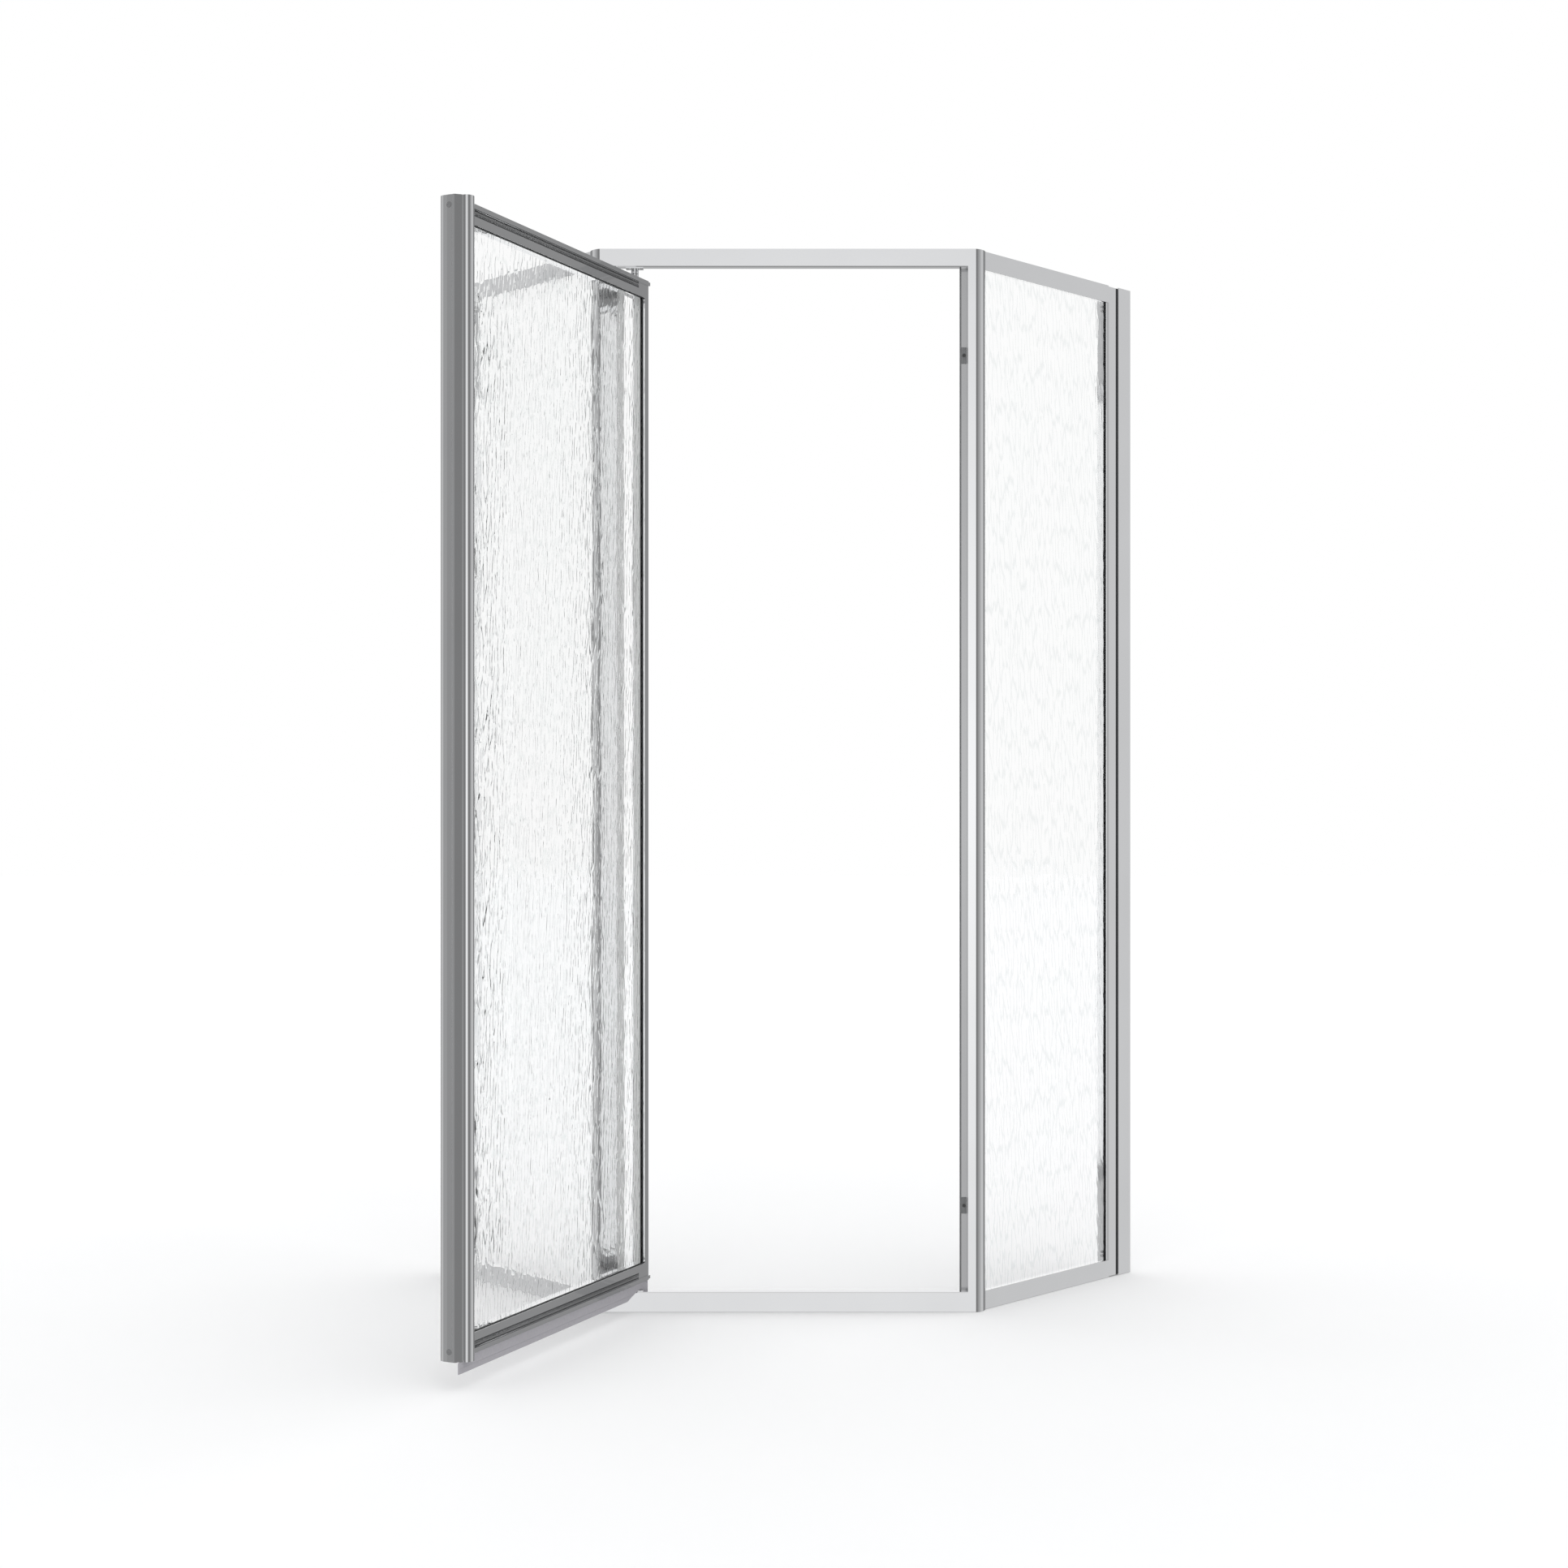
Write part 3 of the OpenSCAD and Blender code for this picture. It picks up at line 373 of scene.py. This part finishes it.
def rain_height(x, z, seed):
    wave = Vector((x * WAVES[0], z * WAVES[1], seed))
    ripple = Vector((x * RIPPLES[0], z * RIPPLES[1], seed + RIPPLE_SEED))
    return WAVE_RELIEF * noise.noise(wave) + RIPPLE_RELIEF * noise.noise(ripple)


def local_span(node, place):
    inverse = place.inverted()
    points = [inverse @ v.co for v in nodes[node].data.vertices]
    return [(min(p[k] for p in points), max(p[k] for p in points)) for k in range(3)]


def pane_points(node, place, seed):
    (x0, x1), (y0, _), (z0, z1) = local_span(node, place)
    nx = round((x1 - x0) / STEP_X)
    nz = round((z1 - z0) / STEP_Z)
    verts = []
    for outer in (True, False):
        for j in range(nz + 1):
            for i in range(nx + 1):
                x = x0 + (x1 - x0) * i / nx
                z = z0 + (z1 - z0) * j / nz
                relief = RELIEF - rain_height(x, z, seed)
                verts.append((x, y0 + relief if outer else y0 + GLASS_T, z))
    return nx, nz, verts


def pane_faces(nx, nz):
    count = (nx + 1) * (nz + 1)
    faces = []
    for side in (0, 1):
        for j in range(nz):
            for i in range(nx):
                a = side * count + j * (nx + 1) + i
                quad = (a, a + 1, a + nx + 2, a + nx + 1)
                faces.append(quad if side == 0 else quad[::-1])
    rim = list(range(nx + 1))
    rim += [j * (nx + 1) + nx for j in range(1, nz + 1)]
    rim += [nz * (nx + 1) + i for i in range(nx - 1, -1, -1)]
    rim += [j * (nx + 1) for j in range(nz - 1, 0, -1)]
    for k, a in enumerate(rim):
        b = rim[(k + 1) % len(rim)]
        faces.append((b, a, a + count, b + count))
    return faces


def pane(name, place, body, node, seed, rain, back):
    nx, nz, verts = pane_points(node, place, seed)
    faces = pane_faces(nx, nz)
    outer_count = nx * nz
    rim_count = len(faces) - 2 * outer_count
    mesh = bpy.data.meshes.new(name)
    mesh.from_pydata(verts, [], faces)
    mesh.update()
    mesh.polygons.foreach_set("use_smooth", [True] * (2 * outer_count) + [False] * rim_count)
    mesh.polygons.foreach_set("material_index", [0] * outer_count + [1] * (outer_count + rim_count))
    mesh.materials.append(rain)
    mesh.materials.append(back)
    obj = bpy.data.objects.new(name, mesh)
    scene.collection.objects.link(obj)
    obj.matrix_world = place
    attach(obj, body)
    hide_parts(node)


pane("pane_right", right_panel(), "frame", "right_glass", 1.7, RAIN, BACK)
pane("pane_left", left_panel(), "frame", "left_glass", 4.1, LEFT_RAIN, LEFT_BACK)
pane("pane_door", door_panel(), "door", "door_glass", 6.2, DOOR_RAIN, DOOR_BACK)


# Camera

def camera():
    view = bpy.data.cameras.new("camera")
    view.lens = 50.0
    view.sensor_width = 36.0
    view.shift_y = CAMERA_SHIFT
    view.clip_start = 0.05
    view.clip_end = 100.0
    obj = bpy.data.objects.new("camera", view)
    scene.collection.objects.link(obj)
    obj.location = CAMERA_AT
    obj.rotation_euler = (math.radians(90), 0, 0)
    scene.camera = obj


# Studio: a pale floor, a white background, plain soft light, and a ring of pale and grey
# screens that the polished metal reflects

def screen_colour(tree):
    coord = tree.nodes.new("ShaderNodeTexCoord")
    split = tree.nodes.new("ShaderNodeSeparateXYZ")
    tree.links.new(coord.outputs["Generated"], split.inputs["Vector"])
    up = split.outputs["Z"]
    ahead = math_node(tree, "MULTIPLY", split.outputs["Y"], -1.0)
    side = math_node(tree, "ABSOLUTE", split.outputs["X"])
    turn = math_node(tree, "ARCTAN2", side, ahead)
    share = math_node(tree, "DIVIDE", turn, math.pi)
    ring = ramp(tree, share, [
        (0.000, grey(1.08)), (0.035, grey(1.06)), (0.080, grey(0.60)), (0.140, grey(0.22)),
        (0.270, grey(0.21)), (0.330, grey(0.34)), (0.390, grey(0.42)), (0.480, grey(0.565)),
        (0.550, grey(0.64)), (0.590, grey(0.60)), (0.640, grey(0.30)), (0.780, grey(0.25)),
        (0.940, grey(0.28)),
    ])
    front = ramp(tree, share, [(0.05, WHITE), (0.10, BLACK)])
    fall = math_node(tree, "MULTIPLY", front, math_node(tree, "ABSOLUTE", up))
    ring = mix_colour(tree, 1.0, ring, math_node(tree, "SUBTRACT", 1.0, fall), "MULTIPLY")
    lift = math_node(tree, "MULTIPLY_ADD", up, 2.0, 0.5)
    back = ramp(tree, lift, [
        (0.15, grey(0.42)), (0.42, grey(0.48)), (0.52, grey(0.66)), (0.80, grey(1.04)),
    ])
    behind = ramp(tree, share, [(0.93, BLACK), (0.97, WHITE)])
    ring = mix_colour(tree, behind, ring, back)
    high = ramp(tree, up, [(0.45, BLACK), (0.8, WHITE)])
    return mix_colour(tree, high, ring, (0.85, 0.85, 0.85, 1.0))


def studio_world():
    world = bpy.data.worlds.new("studio")
    scene.world = world
    world.use_nodes = True
    tree = world.node_tree
    tree.nodes.clear()
    out = tree.nodes.new("ShaderNodeOutputWorld")
    plain = tree.nodes.new("ShaderNodeBackground")
    plain.inputs["Color"].default_value = (*WHITE, 1.0)
    screens = tree.nodes.new("ShaderNodeBackground")
    tree.links.new(screen_colour(tree), screens.inputs["Color"])
    path = tree.nodes.new("ShaderNodeLightPath")
    through = math_node(tree, "SUBTRACT", 1.0, path.outputs["Is Transmission Ray"])
    mirrored = math_node(tree, "MULTIPLY", path.outputs["Is Glossy Ray"], through)
    mix = tree.nodes.new("ShaderNodeMixShader")
    tree.links.new(mirrored, mix.inputs["Fac"])
    tree.links.new(plain.outputs["Background"], mix.inputs[1])
    tree.links.new(screens.outputs["Background"], mix.inputs[2])
    tree.links.new(mix.outputs["Shader"], out.inputs["Surface"])


def floor_material():
    mat, tree, bsdf = new_material("pale_floor")
    bsdf.inputs["Roughness"].default_value = 0.8
    bsdf.inputs["Specular IOR Level"].default_value = 0.0
    cloud = stretched_noise(tree, EVEN, 2.0)
    tree.links.new(ramp(tree, cloud, [(0.3, grey(0.85)), (0.7, grey(0.86))]), bsdf.inputs["Base Color"])
    glow = tree.nodes.new("ShaderNodeEmission")
    glow.inputs["Color"].default_value = (*WHITE, 1.0)
    path = tree.nodes.new("ShaderNodeLightPath")
    seen = math_node(tree, "MAXIMUM", path.outputs["Is Camera Ray"], path.outputs["Is Transmission Ray"])
    tree.links.new(math_node(tree, "MULTIPLY", seen, FLOOR_GLOW), glow.inputs["Strength"])
    add = tree.nodes.new("ShaderNodeAddShader")
    tree.links.new(bsdf.outputs["BSDF"], add.inputs[0])
    tree.links.new(glow.outputs["Emission"], add.inputs[1])
    tree.links.new(add.outputs["Shader"], tree.nodes["Material Output"].inputs["Surface"])
    return mat


def floor():
    mesh = bpy.data.meshes.new("floor")
    corners = [(x * FLOOR_HALF, y * FLOOR_HALF, 0) for x, y in ((-1, -1), (1, -1), (1, 1), (-1, 1))]
    mesh.from_pydata(corners, [], [(0, 1, 2, 3)])
    mesh.materials.append(floor_material())
    obj = bpy.data.objects.new("floor", mesh)
    scene.collection.objects.link(obj)
    obj.location.z = -FLOOR_DROP
    obj.visible_glossy = False


camera()
studio_world()
floor()
scene.view_settings.view_transform = "Standard"
